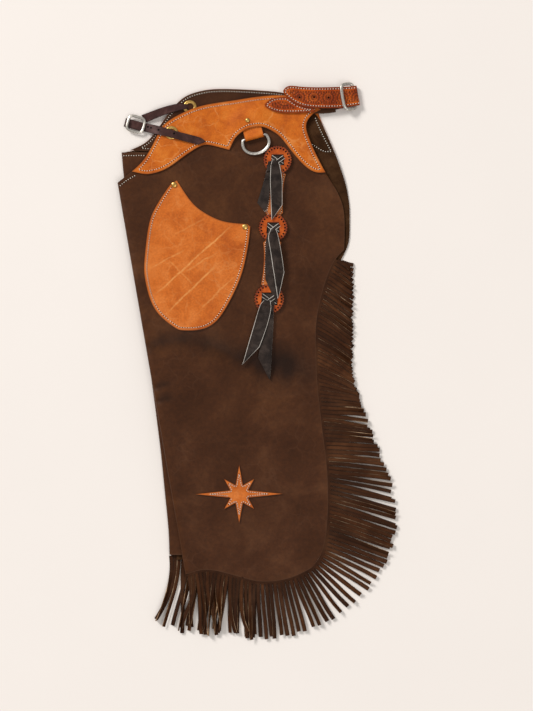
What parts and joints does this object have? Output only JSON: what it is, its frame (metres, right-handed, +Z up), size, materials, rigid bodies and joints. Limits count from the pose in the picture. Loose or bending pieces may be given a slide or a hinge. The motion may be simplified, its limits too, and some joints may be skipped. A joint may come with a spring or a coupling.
{
  "type": "leather chaps",
  "caption": "Batwing leather chaps folded in half and lying flat, with fringed edges, pocket, leg ties, belt, buckled strap and a free dee ring.",
  "frame": {"origin": "centre of the outline, on the surface it lies on", "axes": "+Z up from the surface, +Y from the hem fringe to the waist, +X to the fringed outer edge"},
  "size_m": [0.5064, 1.005, 0.0253],
  "materials": {
    "dark_leather": "oiled dark brown, slightly shiny",
    "flesh_side": "rough flesh side, matt",
    "tan_leather": "orange tan pull-up leather",
    "tooled_leather": "red-brown tooled leather, polished",
    "lace_leather": "near-black lace",
    "strap_leather": "burgundy-brown strap leather",
    "nickel": "polished nickel plate",
    "brass": "polished brass"
  },
  "bodies": {
    "chaps": {"left_leg": "dark_leather", "right_leg": "dark_leather", "hidden_layers": "flesh_side", "left_yoke": "tan_leather", "right_yoke": "tan_leather", "right_yoke_liner": "dark_leather", "pocket": "tan_leather", "pocket_rivet_outer": "brass", "pocket_rivet_inner": "brass", "yoke_stud": "brass", "ring_keeper": "tan_leather", "tie_strap": "tan_leather", "rosette_top": "tooled_leather", "rosette_middle": "tooled_leather", "rosette_bottom": "tooled_leather", "tie_top": "lace_leather", "tie_middle": "lace_leather", "tie_bottom": "lace_leather", "back_belt": "tooled_leather", "belt_loop": "nickel", "strap_upper": "strap_leather", "strap_tongue": "strap_leather", "strap_buckle": "nickel", "grommet_upper": "brass", "grommet_lower": "brass", "star_patch": "tan_leather", "left_fringe": "dark_leather", "right_side_fringe": "dark_leather", "right_hem_fringe": "dark_leather"},
    "dee": {"dee_ring": "nickel"}
  },
  "joints": [
    {"name": "dee_swing", "type": "hinge", "parent": "chaps", "child": "dee", "pos_m": [-0.00717, 0.40432, 0.01406], "axis": [-0.9659, -0.2588, 0], "range_deg": [0, 140]}
  ]
}
